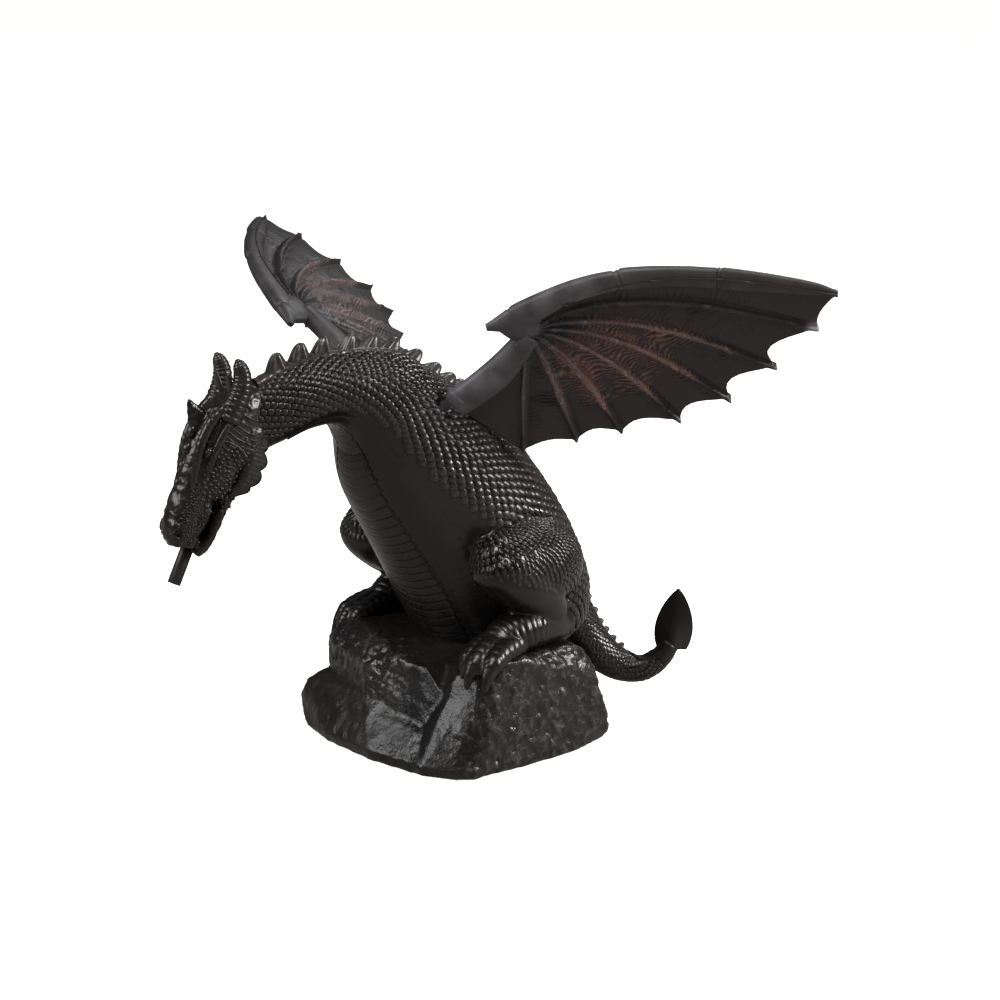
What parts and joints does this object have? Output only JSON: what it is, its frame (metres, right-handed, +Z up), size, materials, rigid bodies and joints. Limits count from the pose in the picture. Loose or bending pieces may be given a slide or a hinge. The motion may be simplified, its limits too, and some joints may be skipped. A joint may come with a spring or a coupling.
{
  "type": "dragon statue",
  "caption": "Cast winged dragon crouching on a two-boulder rock plinth, neck arched down, with a short water pipe in its mouth.",
  "frame": {"origin": "middle of the plinth's flat underside", "axes": "+Z up, the dragon's head looks along -Y, +X is the dragon's left and runs along the spread of the wings"},
  "size_m": [0.358, 0.2758, 0.2342],
  "materials": {
    "figure_resin": "satin",
    "rock_resin": "satin",
    "left_wing_resin": "satin",
    "right_wing_resin": "satin",
    "pipe_tube": "satin"
  },
  "bodies": {
    "root": {"dragon_body": "figure_resin", "rock_plinth": "rock_resin", "left_wing": "left_wing_resin", "right_wing": "right_wing_resin", "mouth_pipe": "pipe_tube"}
  },
  "joints": []
}
